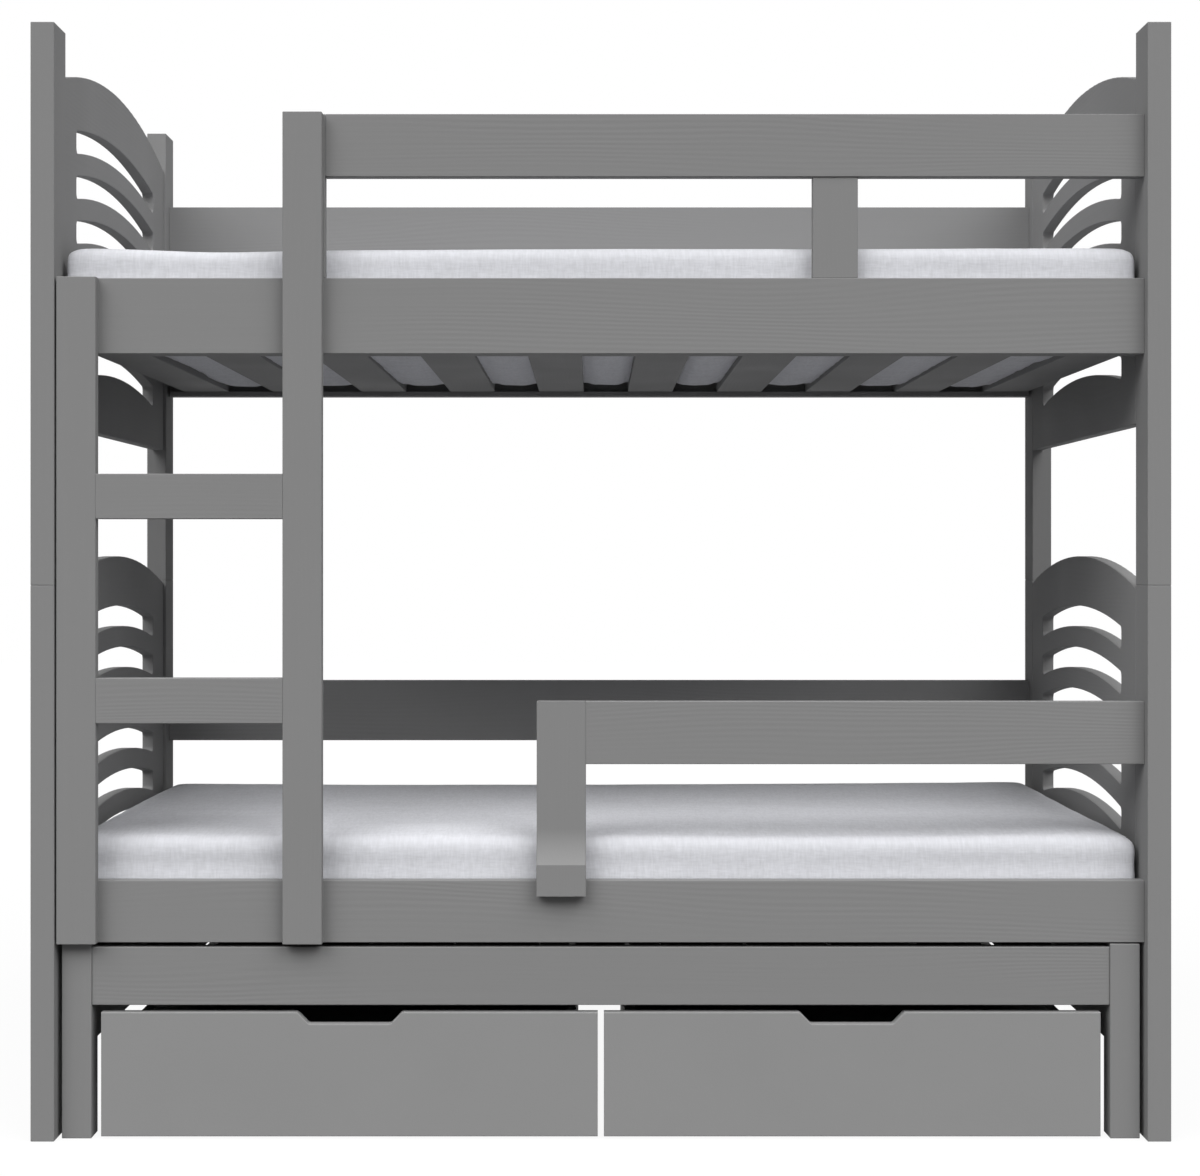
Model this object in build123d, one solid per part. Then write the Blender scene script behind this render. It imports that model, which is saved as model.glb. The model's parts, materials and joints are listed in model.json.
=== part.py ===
from build123d import *
import math
import os

# Triple bunk bed in painted wood: two fixed beds, and a low pull-out bed over two drawers
# Millimetres, X along the bed, Y from its front (minus) to its back, Z up from the floor

# Mattresses of the two fixed beds
MATTRESS_LENGTH = 1600.0
MATTRESS_WIDTH = 800.0
MATTRESS_HEIGHT = {"lower": 132.0, "upper": 140.0}
MATTRESS_CROWN = 7.6
MATTRESS_DRAW_IN = 3.0
MATTRESS_CORNER = 34.0
MATTRESS_TOP_EDGE = 24.0
MATTRESS_BOTTOM_EDGE = 16.0
MATTRESS_END_GAP = 5.0
MATTRESS_SIDE_GAP = 2.0

# Boards and posts
BOARD = 20.0
BOARD_EASE = 1.2
END_GAP = 0.5
POST_WIDTH = 35.0
POST_DEPTH = 68.0
POST_EASE = 1.2
RAIL_SETBACK = 18.0
GLIDE_RADIUS = 14.0
GLIDE_THICKNESS = 1.0

# Heights of the lower bed, stacked up from the floor
LOWER_RAIL_BOTTOM = 291.0
LOWER_RAIL_HEIGHT = 92.0
LOWER_GUARD_GAP = 172.0
FRONT_GUARD_HEIGHT = 93.0
LOWER_POST_HEAD = 172.0
LOWER_BACK_GUARD_GAP = 137.0
BACK_GUARD_HEIGHT = 112.0

# Heights of the upper bed, stacked up from the joint between the posts
UPPER_RAIL_RISE = 343.0
UPPER_RAIL_HEIGHT = 112.0
UPPER_GUARD_GAP = 150.0
UPPER_POST_HEAD = 132.0

# Arched end panels
PANEL_THICKNESS = 20.0
PANEL_SETBACK = {"left": 5.0, "right": 0.0}
PANEL_EASE = 1.5
ARCH_RADIUS = {"lower": 1450.0, "upper": 1300.0}
SHOULDER_DROP = {"lower": 4.5, "upper": 68.5}
SLOT_COUNT = 6
SLOT_RADIUS = 1520.0
SLOT_HEIGHT = 35.0
SLOT_BAR = 35.0
SLOT_STILE = 87.5
SLOT_CORNER = 8.0
PANEL_TOP_BAND = {"lower": 83.0, "upper": 88.0}
PANEL_BOTTOM_BAND = 101.0

# Front guards, their batten, end post and hooked bracket
BATTEN_WIDTH = 67.0
BATTEN_THICKNESS = 18.0
BATTEN_CENTRE_X = 347.5
GUARD_POST_SHIFT = 2.5
LOWER_GUARD_LENGTH = 827.0
BRACKET_WIDTH = 73.0
BRACKET_LIP_DROP = 21.0
BRACKET_LIP_RISE = 25.0
BRACKET_COVE_HEIGHT = 50.0

# Ladder
LADDER_POST_GAP = 3.0
UPRIGHT_WIDTH = 58.0
LADDER_CLEAR_WIDTH = 275.0
RUNG_HEIGHT = 66.5
RUNG_THICKNESS = 30.0
FIRST_RUNG_RISE = 325.5
RUNG_PITCH = 301.5

# Slatted bases
SLAT_COUNT = 10
SLAT_WIDTH = 83.0
SLAT_THICKNESS = 16.0
SLAT_LEFT_MARGIN = 31.6
SLAT_RIGHT_MARGIN = 7.0
SLAT_END_GAP = 1.0
LEDGE_WIDTH = 20.0
LEDGE_HEIGHT = 8.0
LEDGE_END_GAP = 5.0

# Pull-out bed
TRUNDLE_SIDE_GAP = 7.0
TRUNDLE_SETBACK = 17.0
TRUNDLE_DEPTH = 800.0
TRUNDLE_HEADROOM = 2.0
TRUNDLE_LEG_WIDTH = 44.0
TRUNDLE_LEG_DEPTH = 40.0
TRUNDLE_RAIL_HEIGHT = 86.0
TRUNDLE_RAIL_DROP = 5.0
TRUNDLE_RAIL_SETBACK = 2.5
TRUNDLE_SIDE_HEIGHT = 152.0
TRUNDLE_SLAT_COUNT = 11
TRUNDLE_SLAT_MARGIN = 4.0
TRUNDLE_GLIDE_RADIUS = 15.0

# Drawers
DRAWER_FRONT_THICKNESS = 18.0
DRAWER_MIDDLE_GAP = 9.2
DRAWER_SIDE_GAP = 14.0
DRAWER_TOP_GAP = 10.5
DRAWER_FLOOR_GAP = 4.0
DRAWER_BOX_DEPTH = 700.0
DRAWER_BOX_INSET = 33.5
DRAWER_BOX_HEIGHT = 116.0
DRAWER_BOX_WALL = 16.0
DRAWER_BOTTOM_THICKNESS = 12.0
NOTCH_TOP_WIDTH = 155.0
NOTCH_BOTTOM_WIDTH = 122.0
NOTCH_DEPTH = 17.5
NOTCH_ROUND = 7.0

# Drawer wheels
WHEEL_RADIUS = 15.0
WHEEL_WIDTH = 16.0
WHEEL_ROUND = 1.6
WHEEL_FLOOR_GAP = 0.3
WHEEL_HEADROOM = 3.7
WHEEL_CHEEK_GAP = 0.5
WHEEL_PIN_RADIUS = 2.5
WHEEL_INSET_X = 60.0
WHEEL_INSET_Y = 60.0
BRACKET_PLATE = 2.0
BRACKET_LENGTH = 30.0
BRACKET_FLANGE = 9.0

# Fixings
BOLT_RADIUS = 3.0
BOLT_LENGTH = 75.0
BOLT_HEAD_RADIUS = 6.5
BOLT_HEAD_HEIGHT = 4.0
BOLT_SOCKET_RADIUS = 2.9
BOLT_SOCKET_DEPTH = 2.5
BOLT_SEAT_DEPTH = 5.0
BOLT_EDGE_INSET = 24.0
NUT_RADIUS = 5.0
NUT_LENGTH = 15.0
NUT_FROM_TIP = 12.0
NUT_HOLE_DEPTH = 18.0
PIN_RADIUS = 6.0
PIN_LENGTH = 78.0
DOWEL_RADIUS = 4.0
DOWEL_LENGTH = 50.0
PANEL_DOWELS = 3
PANEL_DOWEL_INSET = 45.0
DOWEL_PAIR = 34.0
SCREW_RADIUS = 2.0
SCREW_HEAD_RADIUS = 4.0
SCREW_BITE = 12.0
SCREW_PAIR = 28.0
GUARD_POST_SCREW_INSET = 45.0
SLAT_SCREW_BITE = 6.0
BOLT_HEAD_ROUND = 1.0
PIN_TIP_BEVEL = 0.7
BOLT_CLEARANCE = 0.5
SEAT_CLEARANCE = 1.0
NUT_CLEARANCE = 0.2
FIT_CLEARANCE = 0.05
HOLE_END_CLEARANCE = 1.0

# Plan of the frame, as half widths from the middle
INNER_X = MATTRESS_LENGTH / 2 + MATTRESS_END_GAP
OUTER_X = INNER_X + POST_WIDTH
INNER_Y = MATTRESS_WIDTH / 2 + MATTRESS_SIDE_GAP
RAIL_Y = INNER_Y + BOARD
OUTER_Y = RAIL_Y + RAIL_SETBACK
POST_INNER_Y = OUTER_Y - POST_DEPTH
RAIL_MIDDLE_Y = (INNER_Y + RAIL_Y) / 2
RAIL_END_X = INNER_X - END_GAP
PANEL_INNER_X = {side: INNER_X + setback for side, setback in PANEL_SETBACK.items()}
PANEL_HALF_WIDTH = POST_INNER_Y - END_GAP
SLOT_HALF = PANEL_HALF_WIDTH - SLOT_STILE

# Heights of the frame
LOWER_RAIL_TOP = LOWER_RAIL_BOTTOM + LOWER_RAIL_HEIGHT
LOWER_GUARD_BOTTOM = LOWER_RAIL_TOP + LOWER_GUARD_GAP
LOWER_GUARD_TOP = LOWER_GUARD_BOTTOM + FRONT_GUARD_HEIGHT
LOWER_BACK_GUARD_BOTTOM = LOWER_RAIL_TOP + LOWER_BACK_GUARD_GAP
LOWER_BACK_GUARD_TOP = LOWER_BACK_GUARD_BOTTOM + BACK_GUARD_HEIGHT
POST_JOINT = LOWER_GUARD_TOP + LOWER_POST_HEAD
UPPER_RAIL_BOTTOM = POST_JOINT + UPPER_RAIL_RISE
UPPER_RAIL_TOP = UPPER_RAIL_BOTTOM + UPPER_RAIL_HEIGHT
UPPER_GUARD_BOTTOM = UPPER_RAIL_TOP + UPPER_GUARD_GAP
UPPER_GUARD_TOP = UPPER_GUARD_BOTTOM + FRONT_GUARD_HEIGHT
UPPER_BACK_GUARD_BOTTOM = UPPER_GUARD_TOP - BACK_GUARD_HEIGHT
POST_TOP = UPPER_GUARD_TOP + UPPER_POST_HEAD
SLOT_FIELD = SLOT_COUNT * (SLOT_HEIGHT + SLOT_BAR) - SLOT_BAR
PANEL_HEIGHT = {tier: band + SLOT_FIELD + PANEL_BOTTOM_BAND for tier, band in PANEL_TOP_BAND.items()}
ARCH_RISE = {tier: r - math.sqrt(r**2 - PANEL_HALF_WIDTH**2) for tier, r in ARCH_RADIUS.items()}
PANEL_CROWN = {
    "lower": POST_JOINT - SHOULDER_DROP["lower"] + ARCH_RISE["lower"],
    "upper": POST_TOP - SHOULDER_DROP["upper"] + ARCH_RISE["upper"],
}

# Ladder and guards along X
UPRIGHT_LEFT = -INNER_X + LADDER_POST_GAP
RUNG_LEFT = UPRIGHT_LEFT + UPRIGHT_WIDTH
RUNG_RIGHT = RUNG_LEFT + LADDER_CLEAR_WIDTH
UPRIGHT_RIGHT = RUNG_RIGHT + UPRIGHT_WIDTH
UPRIGHT_MIDDLES = (UPRIGHT_LEFT + UPRIGHT_WIDTH / 2, RUNG_RIGHT + UPRIGHT_WIDTH / 2)
UPRIGHT_MIDDLE_Y = OUTER_Y - RAIL_SETBACK / 2
RUNG_BOTTOMS = tuple(LOWER_RAIL_BOTTOM + FIRST_RUNG_RISE + step * RUNG_PITCH for step in range(2))
GUARD_POST_RIGHT = UPRIGHT_RIGHT + GUARD_POST_SHIFT
GUARD_POST_MIDDLE = GUARD_POST_RIGHT - UPRIGHT_WIDTH / 2
UPPER_GUARD_LEFT = GUARD_POST_RIGHT + END_GAP
LOWER_GUARD_LEFT = INNER_X - LOWER_GUARD_LENGTH
BRACKET_LEFT = LOWER_GUARD_LEFT - BRACKET_WIDTH
BRACKET_FOOT = LOWER_RAIL_TOP - BRACKET_LIP_DROP
BATTEN_MIDDLE_Y = INNER_Y + BATTEN_THICKNESS / 2

# Slatted bases of the fixed beds
LOWER_SLAT_BOTTOM = LOWER_RAIL_BOTTOM + LEDGE_HEIGHT
UPPER_SLAT_BOTTOM = UPPER_RAIL_BOTTOM + LEDGE_HEIGHT

# Pull-out bed
TRUNDLE_X = INNER_X - TRUNDLE_SIDE_GAP
TRUNDLE_INNER_X = TRUNDLE_X - TRUNDLE_LEG_WIDTH
TRUNDLE_LEG_MIDDLE_X = TRUNDLE_X - TRUNDLE_LEG_WIDTH / 2
TRUNDLE_FRONT = -OUTER_Y + TRUNDLE_SETBACK
TRUNDLE_BACK = TRUNDLE_FRONT + TRUNDLE_DEPTH
TRUNDLE_LEG_BACK = TRUNDLE_FRONT + TRUNDLE_LEG_DEPTH
TRUNDLE_BACK_LEG_FRONT = TRUNDLE_BACK - TRUNDLE_LEG_DEPTH
TRUNDLE_LEGS_Y = ((TRUNDLE_FRONT, TRUNDLE_LEG_BACK), (TRUNDLE_BACK_LEG_FRONT, TRUNDLE_BACK))
TRUNDLE_TOP = LOWER_RAIL_BOTTOM - TRUNDLE_HEADROOM
TRUNDLE_RAIL_TOP = TRUNDLE_TOP - TRUNDLE_RAIL_DROP
TRUNDLE_RAIL_BOTTOM = TRUNDLE_RAIL_TOP - TRUNDLE_RAIL_HEIGHT
TRUNDLE_SIDE_BOTTOM = TRUNDLE_RAIL_TOP - TRUNDLE_SIDE_HEIGHT
TRUNDLE_SLAT_BOTTOM = TRUNDLE_RAIL_BOTTOM + LEDGE_HEIGHT
TRUNDLE_RAIL_FACES = (TRUNDLE_FRONT + TRUNDLE_RAIL_SETBACK, TRUNDLE_BACK - TRUNDLE_RAIL_SETBACK)
TRUNDLE_RAIL_INNER = (TRUNDLE_RAIL_FACES[0] + BOARD, TRUNDLE_RAIL_FACES[1] - BOARD)

# Drawers
DRAWER_OUTER_X = TRUNDLE_INNER_X - DRAWER_SIDE_GAP
DRAWER_WIDTH = DRAWER_OUTER_X - DRAWER_MIDDLE_GAP / 2
DRAWER_MIDDLE_X = (DRAWER_OUTER_X + DRAWER_MIDDLE_GAP / 2) / 2
DRAWER_TOP = TRUNDLE_RAIL_BOTTOM - DRAWER_TOP_GAP
DRAWER_FRONT = TRUNDLE_FRONT
DRAWER_BOX_FRONT = DRAWER_FRONT + DRAWER_FRONT_THICKNESS
DRAWER_BOX_BACK = DRAWER_BOX_FRONT + DRAWER_BOX_DEPTH
DRAWER_BOX_HALF = DRAWER_WIDTH / 2 - DRAWER_BOX_INSET
WHEEL_Z = WHEEL_FLOOR_GAP + WHEEL_RADIUS
DRAWER_BASE = WHEEL_Z + WHEEL_RADIUS + WHEEL_HEADROOM + BRACKET_PLATE
DRAWER_BOX_BOTTOM = DRAWER_BASE + DRAWER_BOTTOM_THICKNESS
DRAWER_BOX_TOP = DRAWER_BOX_BOTTOM + DRAWER_BOX_HEIGHT
WHEEL_OFFSET_X = DRAWER_BOX_HALF - WHEEL_INSET_X
WHEEL_ROWS = {"front": DRAWER_BOX_FRONT + WHEEL_INSET_Y, "back": DRAWER_BOX_BACK - WHEEL_INSET_Y}

SIDES = {"left": -1, "right": 1}
DEPTHS = {"front": -1, "back": 1}
FROM_START = (Align.CENTER, Align.CENTER, Align.MIN)


# Plain shapes

def span(first, second):
    """Low and high end of a stretch, given in either order."""
    return min(first, second), max(first, second)


def block(x, y, z):
    """Square-edged block from its low and high end along each axis."""
    stretches = (x, y, z)
    centre = [(low + high) / 2 for low, high in stretches]
    return Pos(*centre) * Box(*[high - low for low, high in stretches])


def board(x, y, z, ease=BOARD_EASE):
    """Block with every edge eased, as a planed and painted board has."""
    raw = block(x, y, z)
    return fillet(raw.edges(), ease)


def butted_board(x, y, z):
    """Board along X with square ends, which close tightly against what they meet."""
    raw = block(x, y, z)
    return fillet(raw.edges().filter_by(Axis.X), BOARD_EASE)


def rod(start, end, radius):
    """Round rod between two points."""
    run = Vector(*end) - Vector(*start)
    return Plane(origin=start, z_dir=run) * Cylinder(radius, run.length, align=FROM_START)


def slat_centres(low, high, count):
    """Middles of the slats, spread evenly so that the outer ones end with the stretch."""
    step = (high - low - SLAT_WIDTH) / (count - 1)
    return [low + SLAT_WIDTH / 2 + index * step for index in range(count)]


# Fixings, kept by node, and the holes that they need, kept by piece

class Fixings:
    def __init__(self):
        self.solids = {}
        self.holes = {}

    def place(self, node, solid):
        self.solids.setdefault(node, []).append(solid)

    def drill(self, pieces, hole):
        for piece in pieces:
            self.holes.setdefault(piece, []).append(hole)

    def drilled(self, name, solid):
        """The piece with its holes cut."""
        holes = self.holes.get(name)
        return (solid - holes).solid() if holes else solid.solid()


def socket_bolt():
    """Furniture bolt along +Z, with the underside of its head at zero."""
    shank = rod((0, 0, 0), (0, 0, BOLT_LENGTH), BOLT_RADIUS)
    head = rod((0, 0, 0), (0, 0, -BOLT_HEAD_HEIGHT), BOLT_HEAD_RADIUS)
    rim = head.edges().filter_by(GeomType.CIRCLE).sort_by(Axis.Z)[0]
    socket = extrude(RegularPolygon(BOLT_SOCKET_RADIUS, 6), BOLT_SOCKET_DEPTH)
    return shank + (fillet(rim, BOLT_HEAD_ROUND) - Pos(0, 0, -BOLT_HEAD_HEIGHT) * socket)


def bolt_joint(fixings, nodes, side, outer_x, y, z, nut_face_y, pieces):
    """Bolt through a post into a barrel nut in the end of a rail.

    nodes names the bolt's and the nut's node, and pieces the post and the rail.
    """
    bolt_node, nut_node = nodes
    seat_x = outer_x - BOLT_SEAT_DEPTH
    inward = (-side, 0, 0)
    fixings.place(bolt_node, Plane(origin=(side * seat_x, y, z), z_dir=inward) * BOLT)
    hole_end = seat_x - BOLT_LENGTH - HOLE_END_CLEARANCE
    hole = rod((side * seat_x, y, z), (side * hole_end, y, z), BOLT_RADIUS + BOLT_CLEARANCE)
    fixings.drill(pieces, hole)
    mouth_x = outer_x + SEAT_CLEARANCE
    seat = rod((side * seat_x, y, z), (side * mouth_x, y, z), BOLT_HEAD_RADIUS + SEAT_CLEARANCE)
    fixings.drill(pieces[:1], seat)
    nut_x = side * (seat_x - BOLT_LENGTH + NUT_FROM_TIP)
    thread = rod((nut_x - NUT_RADIUS, y, z), (nut_x + NUT_RADIUS, y, z), BOLT_RADIUS + FIT_CLEARANCE)
    nut = rod((nut_x, y - NUT_LENGTH / 2, z), (nut_x, y + NUT_LENGTH / 2, z), NUT_RADIUS)
    fixings.place(nut_node, nut - thread)
    toward = math.copysign(NUT_HOLE_DEPTH, y - nut_face_y)
    nut_hole = rod((nut_x, nut_face_y, z), (nut_x, nut_face_y + toward, z), NUT_RADIUS + NUT_CLEARANCE)
    fixings.drill(pieces[1:], nut_hole)


def straight_pin(fixings, node, centre, axis, radius, length, pieces):
    """Dowel or pin across the joint between two pieces, with its hole in both."""
    middle, along = Vector(*centre), Vector(*axis)
    half, reach = length / 2, length / 2 + HOLE_END_CLEARANCE
    pin = rod(tuple(middle - along * half), tuple(middle + along * half), radius)
    fixings.place(node, chamfer(pin.edges().filter_by(GeomType.CIRCLE), PIN_TIP_BEVEL))
    hole = rod(tuple(middle - along * reach), tuple(middle + along * reach), radius + FIT_CLEARANCE)
    fixings.drill(pieces, hole)


def screw_joint(fixings, node, head, axis, through, bite, pieces):
    """Countersunk screw from the face of the first piece into the second."""
    start, along = Vector(*head), Vector(*axis)
    sink = SCREW_HEAD_RADIUS - SCREW_RADIUS
    length = through + bite
    place = Plane(origin=tuple(start), z_dir=tuple(along))
    cone = Cone(SCREW_HEAD_RADIUS, SCREW_RADIUS, sink, align=FROM_START)
    shank = Cylinder(SCREW_RADIUS, length, align=FROM_START)
    fixings.place(node, place * (cone + shank))
    grown = SCREW_RADIUS + FIT_CLEARANCE
    wide = Cone(SCREW_HEAD_RADIUS + FIT_CLEARANCE, grown, sink, align=FROM_START)
    deep = Cylinder(grown, length + FIT_CLEARANCE, align=FROM_START)
    fixings.drill(pieces[:1], place * (wide + deep))
    fixings.drill(pieces[1:], place * deep)


BOLT = socket_bolt()


# Fixed frame

def posts():
    """Eight posts in two tiers, one tier standing on the other."""
    tiers = {"lower": (GLIDE_THICKNESS, POST_JOINT), "upper": (POST_JOINT, POST_TOP)}
    made = {}
    for tier, z in tiers.items():
        for depth, depth_sign in DEPTHS.items():
            for side, side_sign in SIDES.items():
                x = span(side_sign * INNER_X, side_sign * OUTER_X)
                y = span(depth_sign * POST_INNER_Y, depth_sign * OUTER_Y)
                made[f"{tier}_{depth}_{side}_post"] = board(x, y, z, POST_EASE)
    return made


def arch(radius, half_width, crown):
    """Arc across the panel, with its highest point in the middle."""
    end = crown - radius + math.sqrt(radius**2 - half_width**2)
    return ThreePointArc((-half_width, end), (0, crown), (half_width, end))


def banana(top_crown):
    """Curved slot with rounded corners, as a flat face."""
    top = arch(SLOT_RADIUS, SLOT_HALF, top_crown)
    bottom = arch(SLOT_RADIUS, SLOT_HALF, top_crown - SLOT_HEIGHT)
    ends = [Line(top @ end, bottom @ end) for end in (0, 1)]
    face = make_face([top, bottom] + ends)
    return fillet(face.vertices(), SLOT_CORNER)


def end_panel(tier):
    """Slotted panel with an arched top, from X = 0, with its crown at Z = 0."""
    top = arch(ARCH_RADIUS[tier], PANEL_HALF_WIDTH, 0)
    corners = [(end * PANEL_HALF_WIDTH, -PANEL_HEIGHT[tier]) for end in (1, -1)]
    outline = make_face([top, Polyline(top @ 1, *corners, top @ 0)])
    for index in range(SLOT_COUNT):
        outline -= banana(-PANEL_TOP_BAND[tier] - index * (SLOT_HEIGHT + SLOT_BAR))
    raw = extrude(Plane.YZ * outline, PANEL_THICKNESS)
    rims = [edge for face in raw.faces().filter_by(Axis.X) for edge in face.edges()]
    return fillet(rims, PANEL_EASE)


def end_panels():
    """Two alike panels in each tier, between its front and back posts."""
    made = {}
    for tier, crown in PANEL_CROWN.items():
        panel = end_panel(tier)
        for side, side_sign in SIDES.items():
            inner_x = PANEL_INNER_X[side]
            low_x = min(side_sign * inner_x, side_sign * (inner_x + PANEL_THICKNESS))
            made[f"{tier}_{side}_end_panel"] = Pos(low_x, 0, crown) * panel
    return made


def long_boards():
    """Rails and back guards, from post to post."""
    x = (-RAIL_END_X, RAIL_END_X)
    front, back = span(-RAIL_Y, -INNER_Y), span(INNER_Y, RAIL_Y)
    lower, upper = (LOWER_RAIL_BOTTOM, LOWER_RAIL_TOP), (UPPER_RAIL_BOTTOM, UPPER_RAIL_TOP)
    return {
        "lower_front_rail": butted_board(x, front, lower),
        "lower_back_rail": butted_board(x, back, lower),
        "upper_front_rail": butted_board(x, front, upper),
        "upper_back_rail": butted_board(x, back, upper),
        "lower_back_guard": butted_board(x, back, (LOWER_BACK_GUARD_BOTTOM, LOWER_BACK_GUARD_TOP)),
        "upper_back_guard": butted_board(x, back, (UPPER_BACK_GUARD_BOTTOM, UPPER_GUARD_TOP)),
    }


def guard_bracket():
    """Upright of the lower guard: it stands on the rail, and its lip hooks over the front."""
    crease = LOWER_RAIL_TOP + BRACKET_LIP_RISE
    cove_top = crease + BRACKET_COVE_HEIGHT
    radius = (RAIL_SETBACK**2 + BRACKET_COVE_HEIGHT**2) / (2 * RAIL_SETBACK)
    half_turn = math.asin(BRACKET_COVE_HEIGHT / radius) / 2
    middle = (
        -RAIL_Y - radius * (1 - math.cos(half_turn)),
        cove_top - radius * math.sin(half_turn),
    )
    cove = ThreePointArc((-OUTER_Y, crease), middle, (-RAIL_Y, cove_top))
    edge = Polyline(
        (-RAIL_Y, cove_top), (-RAIL_Y, LOWER_GUARD_TOP), (-INNER_Y, LOWER_GUARD_TOP),
        (-INNER_Y, LOWER_RAIL_TOP), (-RAIL_Y, LOWER_RAIL_TOP), (-RAIL_Y, BRACKET_FOOT),
        (-OUTER_Y, BRACKET_FOOT), (-OUTER_Y, crease),
    )
    profile = make_face([cove, edge])
    raw = Pos(BRACKET_LEFT, 0, 0) * extrude(Plane.YZ * profile, BRACKET_WIDTH)
    rims = [line for face in raw.faces().filter_by(Axis.X) for line in face.edges()]
    return fillet(rims, POST_EASE)


def front_guards():
    """Guards of both beds at the front, with what carries their free ends."""
    rail_plane = (-RAIL_Y, -INNER_Y)
    post_x = (GUARD_POST_RIGHT - UPRIGHT_WIDTH, GUARD_POST_RIGHT)
    batten_x = (BATTEN_CENTRE_X - BATTEN_WIDTH / 2, BATTEN_CENTRE_X + BATTEN_WIDTH / 2)
    batten_y = (-INNER_Y - BATTEN_THICKNESS, -INNER_Y)
    upper, lower = (UPPER_GUARD_BOTTOM, UPPER_GUARD_TOP), (LOWER_GUARD_BOTTOM, LOWER_GUARD_TOP)
    return {
        "upper_front_guard": butted_board((UPPER_GUARD_LEFT, RAIL_END_X), rail_plane, upper),
        "upper_guard_end_post": board(post_x, rail_plane, (UPPER_RAIL_TOP, UPPER_GUARD_TOP)),
        "upper_guard_batten": board(batten_x, batten_y, (UPPER_RAIL_TOP, UPPER_GUARD_BOTTOM)),
        "lower_front_guard": butted_board((LOWER_GUARD_LEFT, RAIL_END_X), rail_plane, lower),
        "lower_guard_bracket": guard_bracket(),
    }


def ladder():
    """Two uprights on the front of the rails, and the rungs between them."""
    y = (-OUTER_Y, -RAIL_Y)
    rung_y = (-OUTER_Y, -OUTER_Y + RUNG_THICKNESS)
    made = {
        "ladder_left_upright": board((UPRIGHT_LEFT, RUNG_LEFT), y, (LOWER_RAIL_BOTTOM, UPPER_RAIL_TOP)),
        "ladder_right_upright": board((RUNG_RIGHT, UPRIGHT_RIGHT), y, (LOWER_RAIL_BOTTOM, UPPER_GUARD_TOP)),
    }
    for name, bottom in zip(("ladder_lower_rung", "ladder_upper_rung"), RUNG_BOTTOMS):
        made[name] = butted_board((RUNG_LEFT, RUNG_RIGHT), rung_y, (bottom, bottom + RUNG_HEIGHT))
    return made


def crown(height):
    """Space under a mattress's top, which falls by the crown from its middle to its ends."""
    end_x, end_z = MATTRESS_LENGTH / 2, height - MATTRESS_CROWN
    top = ThreePointArc((-end_x, end_z), (0, height), (end_x, end_z))
    sides = Polyline((end_x, end_z), (end_x, 0), (-end_x, 0), (-end_x, end_z))
    return extrude(Plane.XZ * make_face([top, sides]), MATTRESS_WIDTH, both=True)


def mattress(bottom, height):
    """Mattress with a crowned top, sides drawn in between the corners and rolled edges."""
    half_x, half_y = MATTRESS_LENGTH / 2, MATTRESS_WIDTH / 2
    corners = [(-half_x, -half_y), (half_x, -half_y), (half_x, half_y), (-half_x, half_y)]
    drawn_x, drawn_y = half_x - MATTRESS_DRAW_IN, half_y - MATTRESS_DRAW_IN
    middles = [(0, -drawn_y), (drawn_x, 0), (0, drawn_y), (-drawn_x, 0)]
    ends = corners[1:] + corners[:1]
    outline = make_face([ThreePointArc(*points) for points in zip(corners, middles, ends)])
    outline = fillet(outline.vertices(), MATTRESS_CORNER)
    raw = extrude(outline, height) & crown(height)
    soft = fillet(raw.faces().sort_by(Axis.Z)[-1].edges(), MATTRESS_TOP_EDGE)
    base = soft.faces().sort_by(Axis.Z)[0].edges()
    return Pos(0, 0, bottom) * fillet(base, MATTRESS_BOTTOM_EDGE)


def mattresses():
    """One mattress on each slatted base."""
    return {
        "lower_mattress": mattress(LOWER_SLAT_BOTTOM + SLAT_THICKNESS, MATTRESS_HEIGHT["lower"]),
        "upper_mattress": mattress(UPPER_SLAT_BOTTOM + SLAT_THICKNESS, MATTRESS_HEIGHT["upper"]),
    }


def slatted_base(fixings, screw_node, centres, half_length, y, bottom):
    """Slats on two ledges, each slat held by a screw at either end.

    y is the stretch between the rails, and bottom the height of the slats' underside.
    """
    low_y, high_y = y
    ledge_z = (bottom - LEDGE_HEIGHT, bottom)
    ledge_x = (LEDGE_END_GAP - half_length, half_length - LEDGE_END_GAP)
    ledge_spans = (low_y, low_y + LEDGE_WIDTH), (high_y - LEDGE_WIDTH, high_y)
    ledges = [block(ledge_x, stretch, ledge_z) for stretch in ledge_spans]
    slat_y = (low_y + SLAT_END_GAP, high_y - SLAT_END_GAP)
    slat_z = (bottom, bottom + SLAT_THICKNESS)
    slats = [board((x - SLAT_WIDTH / 2, x + SLAT_WIDTH / 2), slat_y, slat_z) for x in centres]
    for stretch in ledge_spans:
        for x in centres:
            head = (x, sum(stretch) / 2, slat_z[1])
            pieces = (f"slats at {bottom}", f"ledges at {bottom}")
            screw_joint(fixings, screw_node, head, (0, 0, -1), SLAT_THICKNESS, SLAT_SCREW_BITE, pieces)
    slats = [fixings.drilled(f"slats at {bottom}", slat) for slat in slats]
    ledges = [fixings.drilled(f"ledges at {bottom}", ledge) for ledge in ledges]
    return slats, ledges


def glides(half_x, stretches_y, radius):
    """Round pads under the feet, from the floor up."""
    places = [(sign * half_x, sum(y) / 2) for sign in SIDES.values() for y in stretches_y]
    return [rod((x, y, 0), (x, y, GLIDE_THICKNESS), radius).solid() for x, y in places]


# Pull-out bed and drawers

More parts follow.
